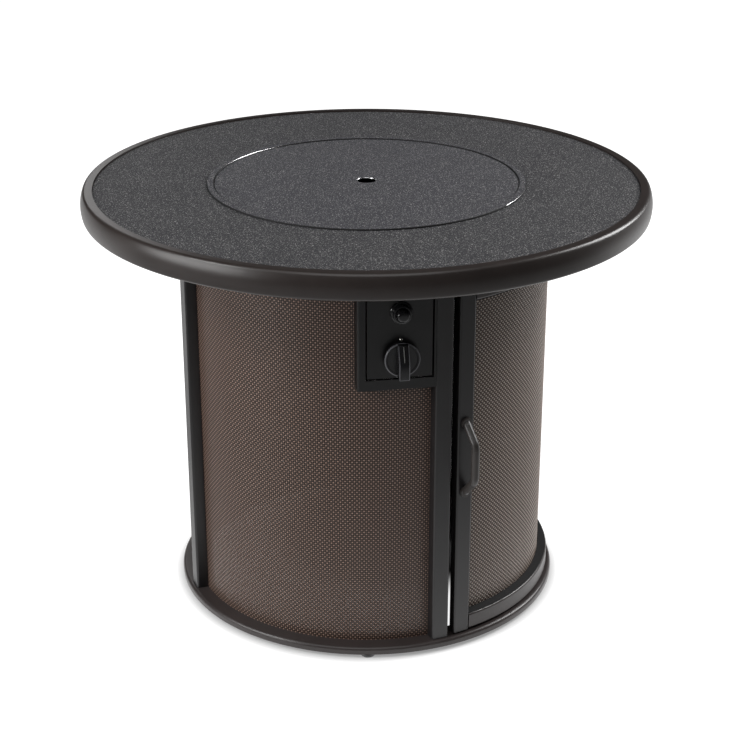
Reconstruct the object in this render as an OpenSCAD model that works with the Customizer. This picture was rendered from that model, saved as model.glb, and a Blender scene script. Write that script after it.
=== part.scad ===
// Round gas fire pit table. A rimmed round top carries a burner pan under a lift-off lid.
// It stands on an open drum of four posts and woven mesh panels, with a curved door for the
// gas cylinder and a flat control panel beside the front post.
// Millimetres, +Z up, floor at z = 0, drum axis on Z, front post on -Y, door towards +X.

/* [Top] */
// Outside diameter of the table top
top_diameter = 786; // [756:2:826]
// Height of the rim above the floor
table_height = 600; // [590:1:640]
// Height of the rim band
rim_height = 35; // [31:0.5:39]
// Width of the flat land on top of the rim
rim_land = 16; // [14:0.5:20]
// Radius of the rim's upper outside edge
rim_edge_radius = 10; // [6:0.5:11]
// Depth of the panel below the top of the rim
panel_drop = 2.5; // [1:0.5:4]
// Thickness of the pressed sheet pieces
sheet = 2; // [1.5:0.1:2.5]

/* [Burner] */
// Distance of the burner pan's flange behind the post face
flange_set = 49.5; // [47:0.5:56]
// Width of the flange seen round the lid
flange_width = 9.5; // [7:0.5:12]
// Depth of the pan under the flange
pan_depth = 69; // [66:1:74]
// Diameter of the finger hole in the lid
finger_hole = 20; // [16:1:28]
// Centre line radius of the burner ring
burner_radius = 110; // [100:1:118]
// Number of gas ports in the burner ring
burner_ports = 24; // [16:4:32]

/* [Drum] */
// Radius to the outside face of the posts
post_radius = 270; // [264:0.5:276]
// Width of a post
post_width = 24; // [20:0.5:28]
// Depth of a post
post_depth = 18.5; // [17.5:0.5:20.5]
// Outside radius of the base ring over the post face
base_proud = 3; // [2:0.5:6]
// Height of the base ring
base_height = 11; // [10:0.5:15]
// Height of a foot
foot_height = 5; // [4:0.5:9]
// Thickness of the woven mesh
mesh_thickness = 1.4; // [1:0.1:2]

/* [Door] */
// Radial depth of the door frame
door_depth = 14; // [13:0.5:16]
// Depth of the door's face behind the post face
door_set = 1; // [0:0.5:3]
// Width of a door stile
stile_width = 24.5; // [22:0.5:28]
// Height of a door rail
rail_height = 23.5; // [20:0.5:27]
// Gap between a post and the door
door_gap = 8.5; // [7:0.5:10]
// Length of the bow handle
handle_length = 116; // [96:2:140]
// Height of the middle of the handle above the floor
handle_height = 286; // [230:2:350]
// Reach of the bow handle in front of the door
handle_reach = 30; // [27:1:36]

/* [Controls] */
// Height of the control box
box_height = 139.5; // [132:0.5:156]
// Width of the box border on the left
box_border_side = 10.5; // [8:0.5:14]
// Height of the box border at the bottom
box_border_bottom = 14; // [10:0.5:18]
// Knob centre below the top hoop
knob_drop = 95; // [93:0.5:97.5]
// Igniter centre below the top hoop
igniter_drop = 34; // [32:0.5:36]
// Diameter of the knob skirt
knob_diameter = 46; // [42:1:48]
// Push of the knob before it turns
knob_push = 3; // [2:0.5:4]
// Push of the igniter button
igniter_push = 4; // [3:0.5:5]

/* [Hidden] */
$fn = 96;
// overshoot of cutting shapes
over = 1;
// running clearances
slide_gap = 0.5;
pivot_gap = 0.06;
lid_gap = 0.7;
fit_play = 0.2;
// wall of the box-section tubes
tube_wall = 1.5;
tube_edge = 3;

// levels of the top, from the rim down
panel_top = table_height - panel_drop;
panel_bottom = panel_top - sheet;
rim_bottom = table_height - rim_height;
flange_thick = 1.5;
flange_bottom = panel_top - flange_thick;
arm_height = 31;
arm_width = 25;
arm_bottom = panel_bottom - arm_height;
hoop_height = 28.5;
hoop_bottom = arm_bottom - hoop_height;
hoop_web = 2;

// radii of the top
rim_outer = top_diameter / 2;
rim_inner = rim_outer - rim_land - 1;
ledge_width = 9;
panel_outer = rim_inner - slide_gap;
flange_outer = post_radius - flange_set;
panel_opening = flange_outer + slide_gap;
pan_step = flange_outer - flange_width;
seat_lap = 4;
seat_inner = pan_step + flange_thick + over;
lid_outer = pan_step - lid_gap;
lid_seat_depth = 7.5;
lid_seat = panel_top - lid_seat_depth;
lid_rise = 0.8;
lid_top = panel_top + lid_rise;
lid_edge = 1.5;
lid_seat_width = 10;
pan_inner = lid_outer - lid_seat_width;
pan_floor = panel_top - pan_depth + flange_thick;
pan_bottom = pan_floor - flange_thick;
arm_gap = 2;
arm_inner = panel_opening + seat_lap + arm_gap;
arm_outer = rim_inner - ledge_width - arm_gap;

// burner
nipple_radius = 10;
nipple_wall = 2.5;
nipple_thread = 6;
nut_height = 8;
nut_radius = 18;
tube_radius = 9;
tube_bore = 7;
spoke_radius = 7;
spoke_bore = 5;
hub_radius = 16;
hub_height = 18;
burner_rise = 23;
burner_z = pan_floor + burner_rise;
port_radius = 1.25;
glass_low = 13;
glass_high = 26;
glass_gap = 3;
electrode_inset = 60;
electrode_y = electrode_inset - pan_inner;
electrode_radius = 4;
electrode_tail = 12;
electrode_rise = 32;
electrode_collar = 4;
tip_radius = 1;
tip_length = 8;
lead_radius = 1.6;
lead_bend = 8;
line_radius = 5;
line_bend = 12;
mixer_radius = 11;
mixer_length = 60;
mixer_wall = 2;
mixer_neck = 6;
mixer_slot = 3.5;
mixer_slot_back = 16;
elbow_half = 12;

// levels and radii of the drum
base_bottom = foot_height;
base_top = base_bottom + base_height;
post_inner = post_radius - post_depth;
mesh_set = 16.2;
mesh_outer = post_radius - mesh_set;
mesh_inner = mesh_outer - mesh_thickness;
ring_lip = 7;
ring_inner = post_inner - ring_lip;
ring_outer = post_radius + base_proud;
ring_edge = 5;
strip_thick = 2;
strip_width = 7;
strip_outer = mesh_inner - slide_gap;
strip_inner = strip_outer - strip_thick;
strip_start = asin((post_width / 2 + fit_play) / strip_inner);
strip_turn = strip_width / mesh_outer * 180 / PI;
foot_count = 3;
foot_first_angle = -21.7;
foot_floor = 2;
foot_top_r = 10;
foot_bottom_r = 8.8;
foot_edge = 1;
foot_radius = ring_outer - foot_edge - foot_top_r;
boss_radius = 8;
foot_screw_r = 2.5;
bolt_radius = 2.5;
bolt_head = 4.5;
bolt_head_high = 3;
bolt_past = 6;
bolt_spread = 5.6;
bolt_ring = (post_radius + post_inner) / 2 - over;

// door
door_outer = post_radius - door_set;
door_inner = door_outer - door_depth;
door_middle = (door_outer + door_inner) / 2;
door_foot_gap = 2.5;
door_head_gap = 6;
door_bottom = base_top + door_foot_gap;
door_top = hoop_bottom - door_head_gap;
latch_angle = asin((post_width / 2 + door_gap + stile_width / 2) / door_middle);
hinge_angle = 90 - latch_angle;
pin_radius = 3.5;
pin_head = 6;
pin_head_high = 4;
pin_collar = 8;
pin_reach = 16;
hoop_outer = door_middle + pin_head + hoop_web + over;
bush_height = 24;
mesh_lap = 8;
door_mesh_turn = asin((stile_width / 2 - mesh_lap) / door_inner);
handle_radius = 5.5;
handle_pad = 7.5;
handle_turn = 45;
handle_out = handle_reach - handle_radius;
handle_end_z = handle_length / 2 - handle_pad;
handle_grip_z = handle_end_z - handle_out / tan(handle_turn);
handle_bend = 14;
handle_neck = 0.3;
handle_past_angle = 8;
leg_past = 3;
pad_height = 4;
screw_bite = 7;
screw_radius = 2;
catch_width = 14;
catch_height = 24;
catch_depth = 9;
catch_hang = 6;
catch_inset = 2;
catch_gap = 0.3;
strike_thick = 1.6;

// how far right the front post lets a point at depth d reach, in the control box's frame
function post_side(d, inset) =
    (d * sin(-control_angle) - post_width / 2 - inset) / cos(control_angle);

// controls, in a frame turned to the box's own flat front
control_angle = -12.4;
box_set = 4.7;
box_front = post_radius - box_set;
box_left = 57;
box_right = 62;
box_behind = 6.5;
box_back = ring_inner - box_behind;
box_bottom = hoop_bottom - box_height;
box_edge = 3;
plate_gap = 2.2;
plate_set = 1;
plate_front = box_front - plate_set;
plate_fold = 12;
window_left = box_left - box_border_side;
window_right = post_side(plate_front - plate_fold, sheet) - fit_play + plate_gap;
window_bottom = box_bottom + box_border_bottom;
box_border_top = 8;
window_top = hoop_bottom - box_border_top;
strap_lap = 2;
strap_height = 14;
knob_z = hoop_bottom - knob_drop;
igniter_z = hoop_bottom - igniter_drop;
knob_skirt = 7;
knob_bar_w = 14;
knob_bar_h = 16;
knob_lift = knob_push + lid_gap;
stem_radius = 3;
stem_bite = 6;
stem_tail = 6;
stem_room = 12;
collar_radius = 6;
collar_back = 5;
collar_play = 0.4;
collar_room = 9;
bonnet_radius = 12;
bonnet_back = 24;
valve_half = 16;
valve_depth = 34;
valve_high = 20;
inlet_radius = 7.94;
inlet_length = 16;
inlet_bore = 4;
valve_y = -(plate_front - bonnet_back - valve_depth / 2);
outlet_nut = 8;
outlet_length = 6;
outlet_top = knob_z + valve_high + outlet_length;
line_rise = 5;
feed_z = outlet_top + line_bend + line_rise;
igniter_flange_r = 14.5;
igniter_flange = 3;
igniter_collar_r = 12;
igniter_collar = 8;
igniter_barrel_r = 9;
igniter_back = 40;
igniter_nut_r = 14;
igniter_nut_high = 5;
button_radius = 8.5;
button_proud = 7;
button_room = 4;
button_dome = 3;
pip_radius = 1.8;
pip_gap = 2;
pip_high = 0.6;

// a rectangle with round corners, centred
module round_rect(w, d, r) {
    square([w - 2 * r, d], center = true);
    square([w, d - 2 * r], center = true);
    for (sx = [-1, 1], sy = [-1, 1])
        translate([sx * (w / 2 - r), sy * (d / 2 - r)])
            circle(r = r, $fn = 32);
}

// the section of a box tube
module tube_section(w, d) {
    difference() {
        round_rect(w, d, tube_edge);
        round_rect(w - 2 * tube_wall, d - 2 * tube_wall, tube_edge - tube_wall);
    }
}

// a rectangle in a turned section, between two radii and two levels
module band(r0, r1, z0, z1) {
    translate([r0, z0])
        square([r1 - r0, z1 - z0]);
}

// a curved wall between two angles counted from -Y
module wall(r0, r1, z0, z1, a0, a1) {
    rotate([0, 0, a0 - 90])
        rotate_extrude(angle = a1 - a0, $fn = 180)
            band(r0, r1, z0, z1);
}

// a round bar along Y, from the front at -y0 back to -y1
module peg(r, y0, y1) {
    translate([0, -y1, 0])
        rotate([90, 0, 0])
            cylinder(h = y0 - y1, r = r);
}

// a block in a frame that faces -Y
module block(x0, x1, y0, y1, z0, z1) {
    translate([x0, -y0, z0])
        cube([x1 - x0, y0 - y1, z1 - z0]);
}

// a round bar between two points with the same x
module bar_yz(r, y0, z0, y1, z1) {
    translate([0, y0, z0])
        rotate([-atan2(y1 - y0, z1 - z0), 0, 0])
            cylinder(h = norm([y1 - y0, z1 - z0]), r = r);
}

// a bent round bar in the YZ plane, from -Y of its centre towards +Z, run on past both ends
module bend(bend_r, r, turn, past = 0) {
    rotate([0, -90, 0])
        rotate([0, 0, -90 - past])
            rotate_extrude(angle = turn + 2 * past)
                translate([bend_r, 0])
                    circle(r = r, $fn = 48);
}

module facing(a) {
    rotate([0, 0, a])
        children();
}

// top

module rim_outline() {
    band(rim_inner, rim_outer - rim_edge_radius, rim_bottom, table_height);
    band(rim_inner, rim_outer, rim_bottom + rim_edge_radius / 2, table_height - rim_edge_radius);
    band(rim_inner, rim_outer - rim_edge_radius / 2, rim_bottom, rim_bottom + rim_edge_radius);
    intersection() {
        translate([rim_outer - rim_edge_radius, table_height - rim_edge_radius])
            circle(r = rim_edge_radius, $fn = 48);
        band(rim_outer - rim_edge_radius - over, rim_outer, rim_bottom, table_height);
    }
    translate([rim_outer - rim_edge_radius / 2, rim_bottom + rim_edge_radius / 2])
        circle(r = rim_edge_radius / 2, $fn = 48);
}

module top_rim() {
    lip_bottom = panel_bottom - sheet;
    color("#3d3735")
        rotate_extrude($fn = 240) {
            difference() {
                rim_outline();
                band(rim_inner - over, rim_outer - rim_edge_radius, rim_bottom + sheet, lip_bottom);
                band(rim_inner - over, rim_outer - sheet, rim_bottom + sheet + rim_edge_radius / 2,
                    table_height - rim_edge_radius);
            }
            band(rim_inner - ledge_width, rim_inner, lip_bottom, panel_bottom);
        }
}

module top_panel() {
    color("#535354")
        rotate_extrude($fn = 240) {
            band(panel_opening, panel_outer, panel_bottom, panel_top);
            band(seat_inner, panel_opening + seat_lap, flange_bottom - sheet - over, flange_bottom);
            band(panel_opening, panel_opening + seat_lap, flange_bottom - sheet - over,
                panel_bottom + over);
        }
}

module support_arm(i) {
    color("#3d3735")
        facing(45 + 90 * i)
            difference() {
                block(-arm_width / 2, arm_width / 2, arm_outer, arm_inner, arm_bottom, panel_bottom);
                block(-arm_width / 2 + sheet, arm_width / 2 - sheet, arm_outer + over,
                    arm_inner - over, arm_bottom + sheet, panel_bottom - sheet);
                for (s = [-1, 1])
                    translate([s * bolt_spread, -bolt_ring, arm_bottom - over])
                        cylinder(h = sheet + 2 * over, r = bolt_radius, $fn = 32);
            }
}

module top_bolts() {
    color("#8a8a8c")
        for (i = [0:3], s = [-1, 1])
            facing(45 + 90 * i)
                translate([s * bolt_spread, -bolt_ring, 0]) {
                    translate([0, 0, hoop_bottom - bolt_head_high])
                        cylinder(h = bolt_head_high, r = bolt_head, $fn = 32);
                    translate([0, 0, hoop_bottom - over])
                        cylinder(h = hoop_height + bolt_past + over, r = bolt_radius, $fn = 32);
                }
}

// burner

module burner_lid() {
    color("#58585a")
        difference() {
            rotate_extrude($fn = 240)
                difference() {
                    union() {
                        band(0, lid_outer - lid_edge, lid_seat, lid_top);
                        band(0, lid_outer, lid_seat, lid_top - lid_edge);
                        translate([lid_outer - lid_edge, lid_top - lid_edge])
                            circle(r = lid_edge, $fn = 32);
                    }
                    band(-over, lid_outer - sheet, lid_seat - over, lid_top - sheet);
                }
            translate([0, 0, lid_seat])
                cylinder(h = lid_seat_depth + 2 * over, r = finger_hole / 2);
        }
}

module burner_pan() {
    color("#6a6664")
        difference() {
            rotate_extrude($fn = 240) {
                band(pan_step, flange_outer, flange_bottom, panel_top);
                band(pan_step, pan_step + flange_thick, lid_seat - flange_thick, panel_top);
                band(pan_inner, pan_step + flange_thick, lid_seat - flange_thick, lid_seat);
                band(pan_inner, pan_inner + flange_thick, pan_bottom, lid_seat);
                band(nipple_radius, pan_inner + flange_thick, pan_bottom, pan_floor);
            }
            facing(control_angle)
                translate([0, electrode_y, pan_bottom - over])
                    cylinder(h = flange_thick + 2 * over, r = electrode_radius, $fn = 48);
        }
}

module burner_ring() {
    color("#a7a9ab")
        difference() {
            union() {
                translate([0, 0, burner_z])
                    rotate_extrude()
                        translate([burner_radius, 0])
                            circle(r = tube_radius, $fn = 48);
                for (a = [0:90:270])
                    facing(a)
                        translate([0, 0, burner_z])
                            peg(spoke_radius, burner_radius, 0);
                translate([0, 0, burner_z - hub_height / 2])
                    cylinder(h = hub_height, r = hub_radius);
            }
            translate([0, 0, burner_z])
                rotate_extrude()
                    translate([burner_radius, 0])
                        circle(r = tube_bore, $fn = 48);
            for (a = [0:90:270])
                facing(a)
                    translate([0, 0, burner_z])
                        peg(spoke_bore, burner_radius, 0);
            translate([0, 0, burner_z - hub_height / 2 - over])
                cylinder(h = hub_height / 2 + over, r = nipple_radius);
            for (i = [0:burner_ports - 1])
                facing((i + 0.5) * 360 / burner_ports)
                    translate([0, -burner_radius, burner_z])
                        cylinder(h = tube_radius + over, r = port_radius, $fn = 16);
        }
}

module burner_nipple() {
    length = burner_z - hub_height / 2 + nipple_thread - feed_z - elbow_half;
    color("#b08d4a")
        translate([0, 0, feed_z + elbow_half])
            difference() {
                cylinder(h = length, r = nipple_radius);
                translate([0, 0, -over])
                    cylinder(h = length + 2 * over, r = nipple_radius - nipple_wall);
            }
}

module burner_lock_nut() {
    color("#b08d4a")
        translate([0, 0, pan_bottom - nut_height])
            difference() {
                cylinder(h = nut_height, r = nut_radius, $fn = 6);
                translate([0, 0, -over])
                    cylinder(h = nut_height + 2 * over, r = nipple_radius);
            }
}

module burner_elbow() {
    color("#b08d4a")
        facing(control_angle)
            translate([0, 0, feed_z])
                difference() {
                    translate([-elbow_half, -elbow_half, -elbow_half])
                        cube(2 * elbow_half);
                    cylinder(h = elbow_half + over, r = nipple_radius - nipple_wall);
                    peg(nipple_radius - nipple_wall, elbow_half + over, 0);
                }
}

module air_mixer() {
    slots = 4;
    color("#9c9c9e")
        facing(control_angle)
            translate([0, 0, feed_z])
                difference() {
                    peg(mixer_radius, elbow_half + mixer_length, elbow_half);
                    peg(mixer_radius - mixer_wall, elbow_half + mixer_length - mixer_neck, elbow_half - over);
                    for (i = [0:slots - 1])
                        translate([0, -elbow_half - mixer_length + mixer_slot_back, 0])
                            rotate([0, 45 + i * 360 / slots, 0])
                                cylinder(h = mixer_radius + over, r = mixer_slot, $fn = 32);
                }
}

module fire_glass() {
    color("#39474c")
        difference() {
            rotate_extrude() {
                band(hub_radius + glass_gap, burner_radius - tube_radius - glass_gap, pan_floor,
                    pan_floor + glass_low);
                band(burner_radius + tube_radius + glass_gap, pan_inner, pan_floor,
                    pan_floor + glass_high);
            }
            facing(control_angle)
                translate([0, electrode_y, pan_floor - over])
                    cylinder(h = glass_high + 2 * over, r = electrode_radius + glass_gap);
        }
}

module spark_electrode() {
    color("#d9d4c8")
        facing(control_angle)
            translate([0, electrode_y, 0]) {
                translate([0, 0, pan_bottom - electrode_tail])
                    cylinder(h = electrode_tail + flange_thick + electrode_rise, r = electrode_radius,
                        $fn = 48);
                translate([0, 0, pan_bottom - electrode_collar])
                    cylinder(h = electrode_collar, r = 2 * electrode_radius, $fn = 48);
                translate([0, 0, pan_floor + electrode_rise - over])
                    cylinder(h = tip_length + over, r = tip_radius, $fn = 24);
            }
}

module igniter_lead() {
    lead_end = -electrode_y + lead_bend;
    start = plate_front - igniter_back;
    color("#26262a")
        facing(control_angle) {
            translate([0, 0, igniter_z])
                peg(lead_radius, start, lead_end);
            translate([0, -lead_end, igniter_z + lead_bend])
                rotate([180, 0, 0])
                    bend(lead_bend, lead_radius, 90);
            translate([0, electrode_y, igniter_z + lead_bend])
                cylinder(h = pan_bottom - electrode_tail - igniter_z - lead_bend, r = lead_radius,
                    $fn = 24);
        }
}

module gas_line() {
    mixer_end = elbow_half + mixer_length;
    bend_y = valve_y + line_bend;
    color("#b9b4aa")
        facing(control_angle) {
            translate([0, valve_y, outlet_top])
                cylinder(h = feed_z - line_bend - outlet_top, r = line_radius, $fn = 48);
            translate([0, bend_y, feed_z - line_bend])
                bend(line_bend, line_radius, 90);
            translate([0, 0, feed_z])
                peg(line_radius, -bend_y, mixer_end);
        }
}

// drum

module top_hoop() {
    color("#3d3735")
        difference() {
            rotate_extrude($fn = 180)
                difference() {
                    band(ring_inner, hoop_outer, hoop_bottom, arm_bottom);
                    band(ring_inner + hoop_web, hoop_outer - hoop_web, hoop_bottom + hoop_web,
                        arm_bottom + over);
                }
            for (i = [0:3], s = [-1, 1])
                facing(45 + 90 * i)
                    translate([s * bolt_spread, -bolt_ring, hoop_bottom - over])
                        cylinder(h = hoop_web + 2 * over, r = bolt_radius, $fn = 32);
            facing(hinge_angle)
                translate([0, -door_middle, hoop_bottom - over])
                    cylinder(h = hoop_web + 2 * over, r = pin_radius, $fn = 48);
        }
}

module base_outline(inset) {
    band(ring_inner + inset, ring_outer - ring_edge, base_bottom, base_top - inset);
    band(ring_inner + inset, ring_outer - inset, base_bottom, base_top - ring_edge);
    translate([ring_outer - ring_edge, base_top - ring_edge])
        circle(r = ring_edge - inset, $fn = 48);
}

module base_ring() {
    color("#4a4341")
        difference() {
            union() {
                rotate_extrude($fn = 180)
                    difference() {
                        base_outline(0);
                        base_outline(sheet);
                        band(ring_inner + sheet, ring_outer - sheet, base_bottom - over,
                            base_bottom + over);
                    }
                for (i = [0:foot_count - 1])
                    facing(foot_first_angle + i * 360 / foot_count)
                        translate([0, -foot_radius, base_bottom])
                            cylinder(h = base_height - sheet / 2, r = boss_radius, $fn = 48);
            }
            for (i = [0:foot_count - 1])
                facing(foot_first_angle + i * 360 / foot_count)
                    translate([0, -foot_radius, base_bottom - over])
                        cylinder(h = base_height + 2 * over, r = foot_screw_r, $fn = 32);
            facing(hinge_angle)
                translate([0, -door_middle, base_bottom - over])
                    cylinder(h = base_height + 2 * over, r = pin_radius, $fn = 48);
        }
}

module post(a) {
    color("#3d3735")
        facing(a)
            translate([0, -post_radius + post_depth / 2, base_top])
                linear_extrude(hoop_bottom - base_top)
                    tube_section(post_width, post_depth);
}

// the space that the control box takes out of the mesh
module box_space() {
    facing(control_angle)
        block(-box_left - fit_play, box_right, box_front, box_back - over, box_bottom - fit_play,
            hoop_bottom + over);
}

module mesh_panel(a) {
    color("#5d4b44")
        difference() {
            wall(mesh_inner, mesh_outer, base_top, hoop_bottom, a + strip_start, a + 90 - strip_start);
            if (a == 270)
                box_space();
        }
}

module mesh_strips(a) {
    color("#3d3735")
        difference() {
            wall(strip_inner, strip_outer, base_top, hoop_bottom, a + strip_start,
                a + 90 - strip_start);
            wall(strip_inner - over, strip_outer + over, base_top + strip_width,
                hoop_bottom - strip_width, a + strip_start + strip_turn,
                a + 90 - strip_start - strip_turn);
            if (a == 270)
                box_space();
        }
}

module foot(i) {
    color("#1d1d1e")
        facing(foot_first_angle + i * 360 / foot_count)
            translate([0, -foot_radius, 0])
                difference() {
                    cylinder(h = foot_height, r1 = foot_bottom_r, r2 = foot_top_r);
                    translate([0, 0, foot_floor])
                        cylinder(h = foot_height, r = foot_screw_r, $fn = 32);
                }
}

module foot_screws() {
    color("#8a8a8c")
        for (i = [0:foot_count - 1])
            facing(foot_first_angle + i * 360 / foot_count)
                translate([0, -foot_radius, foot_floor])
                    cylinder(h = base_top - 2 * foot_floor, r = foot_screw_r, $fn = 32);
}

// door

module stile(a) {
    color("#453e3c")
        facing(a)
            difference() {
                translate([0, -door_middle, door_bottom])
                    linear_extrude(door_top - door_bottom)
                        tube_section(stile_width, door_depth);
                if (a == latch_angle)
                    for (s = [-1, 1])
                        translate([0, 0, handle_height + s * handle_end_z])
                            peg(screw_radius, door_outer + over, door_inner - over);
            }
}

module rail(z) {
    color("#453e3c")
        difference() {
            rotate([0, 0, latch_angle - 90])
                rotate_extrude(angle = hinge_angle - latch_angle, $fn = 180)
                    translate([door_middle, z + rail_height / 2])
                        tube_section(door_depth, rail_height);
            for (a = [latch_angle, hinge_angle])
                facing(a)
                    block(-stile_width / 2, stile_width / 2, door_outer + 2 * over,
                        door_inner - 2 * over, z - over, z + rail_height + over);
        }
}

module door_mesh() {
    color("#5d4b44")
        wall(door_inner - mesh_thickness, door_inner, door_bottom + rail_height - mesh_lap,
            door_top - rail_height + mesh_lap, latch_angle + door_mesh_turn,
            hinge_angle - door_mesh_turn);
}

// one end of the bow: a bend and a leg that runs in to a pad on the door
module handle_end(bend_z) {
    leg_y = handle_bend - handle_out - handle_bend * cos(handle_turn);
    leg_z = bend_z + handle_bend * sin(handle_turn);
    translate([0, handle_bend - handle_out, bend_z])
        bend(handle_bend, handle_radius - handle_neck, handle_turn, handle_past_angle);
    bar_yz(handle_radius, leg_y, leg_z, leg_past * sin(handle_turn),
        handle_end_z + leg_past * cos(handle_turn));
    translate([0, 0, handle_end_z])
        peg(handle_pad, pad_height, 0);
}

module door_handle() {
    bend_z = handle_grip_z - handle_bend * tan(handle_turn / 2);
    color("#2e2b2a")
        facing(latch_angle)
            translate([0, -door_outer, handle_height])
                difference() {
                    union() {
                        bar_yz(handle_radius, -handle_out, -bend_z, -handle_out, bend_z);
                        for (s = [0, 1])
                            mirror([0, 0, s])
                                handle_end(bend_z);
                    }
                    block(-handle_pad - over, handle_pad + over, 0, -2 * handle_pad, -handle_length,
                        handle_length);
                    for (s = [-1, 1])
                        translate([0, 0, s * handle_end_z])
                            peg(screw_radius, screw_bite, -over);
                }
}

module handle_screws() {
    color("#8a8a8c")
        facing(latch_angle)
            for (s = [-1, 1])
                translate([0, 0, handle_height + s * handle_end_z]) {
                    peg(screw_radius, door_outer + screw_bite, door_inner);
                    peg(2 * screw_radius, door_inner, door_inner - screw_radius);
                }
}

module door_bush(z) {
    color("#d0ccc2")
        facing(hinge_angle)
            translate([0, -door_middle, z])
                difference() {
                    linear_extrude(bush_height)
                        round_rect(stile_width - 2 * tube_wall, door_depth - 2 * tube_wall,
                            tube_edge - tube_wall);
                    translate([0, 0, -over])
                        cylinder(h = bush_height + 2 * over, r = pin_radius + pivot_gap);
                }
}

module hinge_pin_upper() {
    color("#8a8a8c")
        facing(hinge_angle)
            translate([0, -door_middle, 0]) {
                translate([0, 0, door_top - pin_reach])
                    cylinder(h = hoop_bottom + hoop_web + over - door_top + pin_reach, r = pin_radius);
                translate([0, 0, hoop_bottom + hoop_web])
                    cylinder(h = pin_head_high, r = pin_head);
            }
}

module hinge_pin_lower() {
    color("#8a8a8c")
        facing(hinge_angle)
            translate([0, -door_middle, 0]) {
                translate([0, 0, base_bottom])
                    cylinder(h = door_bottom + pin_reach - base_bottom, r = pin_radius);
                translate([0, 0, base_top])
                    cylinder(h = door_bottom - base_top - fit_play, r = pin_collar);
            }
}

module magnet_catch() {
    face = door_inner - strike_thick - catch_gap;
    color("#2a2a2c")
        facing(latch_angle)
            block(catch_inset - stile_width / 2, catch_inset + catch_width - stile_width / 2, face,
                face - catch_depth, hoop_bottom - catch_height - catch_hang, hoop_bottom);
}

module strike_plate() {
    color("#a7a9ab")
        facing(latch_angle)
            block(catch_inset - stile_width / 2, catch_inset + catch_width - stile_width / 2,
                door_inner, door_inner - strike_thick, door_top - catch_height,
                door_top - catch_inset);
}

// controls

// everything on the post's side of a plane beside the front post
module beside_post(inset) {
    translate([-post_width / 2 - inset, -post_radius - box_right, box_bottom - 2 * over])
        cube([box_left + box_right, 2 * box_right, box_height + 4 * over]);
}

module box_outline(inset) {
    w = box_left + box_right - 2 * inset;
    translate([(box_right - box_left) / 2, 0])
        square_front(w, box_front - inset, box_back - 2 * over, max(box_edge - inset, 0.5));
}

// a plan shape with its two front corners rounded
module square_front(w, y0, y1, r) {
    translate([-w / 2, -y0 + r])
        square([w, y0 - y1 - r]);
    translate([-w / 2 + r, -y0])
        square([w - 2 * r, r + over]);
    for (s = [-1, 1])
        translate([s * (w / 2 - r), -y0 + r])
            circle(r = r, $fn = 32);
}

module control_box() {
    color("#322d2c")
        difference() {
            facing(control_angle)
                difference() {
                    translate([0, 0, box_bottom])
                        linear_extrude(box_height)
                            box_outline(0);
                    block(-box_left - over, box_right + over, box_back, box_back - 4 * over,
                        box_bottom - over, hoop_bottom + over);
                    block(-window_left, window_right, box_front + over, box_front - sheet - over,
                        window_bottom, window_top);
                }
            difference() {
                facing(control_angle)
                    translate([0, 0, box_bottom + sheet])
                        linear_extrude(box_height - 2 * sheet)
                            box_outline(sheet);
                beside_post(sheet);
            }
            beside_post(0);
        }
}

module control_plate() {
    left = -window_left + plate_gap;
    right = window_right - plate_gap;
    low = window_bottom + plate_gap;
    high = window_top - plate_gap;
    color("#2b2827")
        facing(control_angle)
            difference() {
                block(left, right, plate_front, plate_front - plate_fold, low, high);
                block(left + sheet, right - sheet, plate_front - sheet, plate_front - plate_fold - over,
                    low + sheet, high - sheet);
                translate([0, 0, knob_z])
                    peg(collar_radius + slide_gap, plate_front + over, plate_front - sheet - over);
                translate([0, 0, igniter_z])
                    peg(igniter_barrel_r, plate_front + over, plate_front - sheet - over);
            }
}

module plate_straps() {
    strap_y = plate_front - plate_fold;
    color("#8a8a8c")
        difference() {
            facing(control_angle)
                for (z = [window_bottom - strap_lap, window_top + strap_lap - strap_height])
                    block(-box_left + sheet, box_right, strap_y, strap_y - sheet, z,
                        z + strap_height);
            beside_post(sheet);
        }
}

module index_pip() {
    color("#e8e6e0")
        facing(control_angle)
            translate([0, 0, knob_z + knob_diameter / 2 + pip_gap])
                peg(pip_radius, plate_front + pip_high, plate_front);
}

module control_knob() {
    base = plate_front + knob_lift;
    front = base + knob_skirt + knob_bar_h;
    color("#1b1b1c")
        facing(control_angle)
            translate([0, 0, knob_z])
                difference() {
                    union() {
                        peg(knob_diameter / 2, base + knob_skirt, base);
                        intersection() {
                            block(-knob_bar_w / 2, knob_bar_w / 2, front, base + over,
                                -knob_diameter, knob_diameter);
                            peg(knob_diameter / 2, front, base + over);
                        }
                    }
                    peg(stem_radius, base + knob_skirt + stem_bite, base - over);
                }
}

module valve_stem() {
    base = plate_front + knob_lift;
    color("#b9bbbd")
        facing(control_angle)
            translate([0, 0, knob_z])
                peg(stem_radius, base + knob_skirt + stem_bite, plate_front - bonnet_back - stem_tail);
}

module stem_collar() {
    color("#9c9c9e")
        facing(control_angle)
            translate([0, 0, knob_z])
                difference() {
                    peg(collar_radius, plate_front + knob_lift - collar_play, plate_front - collar_back);
                    peg(stem_radius + pivot_gap, plate_front + knob_lift + over,
                        plate_front - collar_back - over);
                }
}

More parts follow.
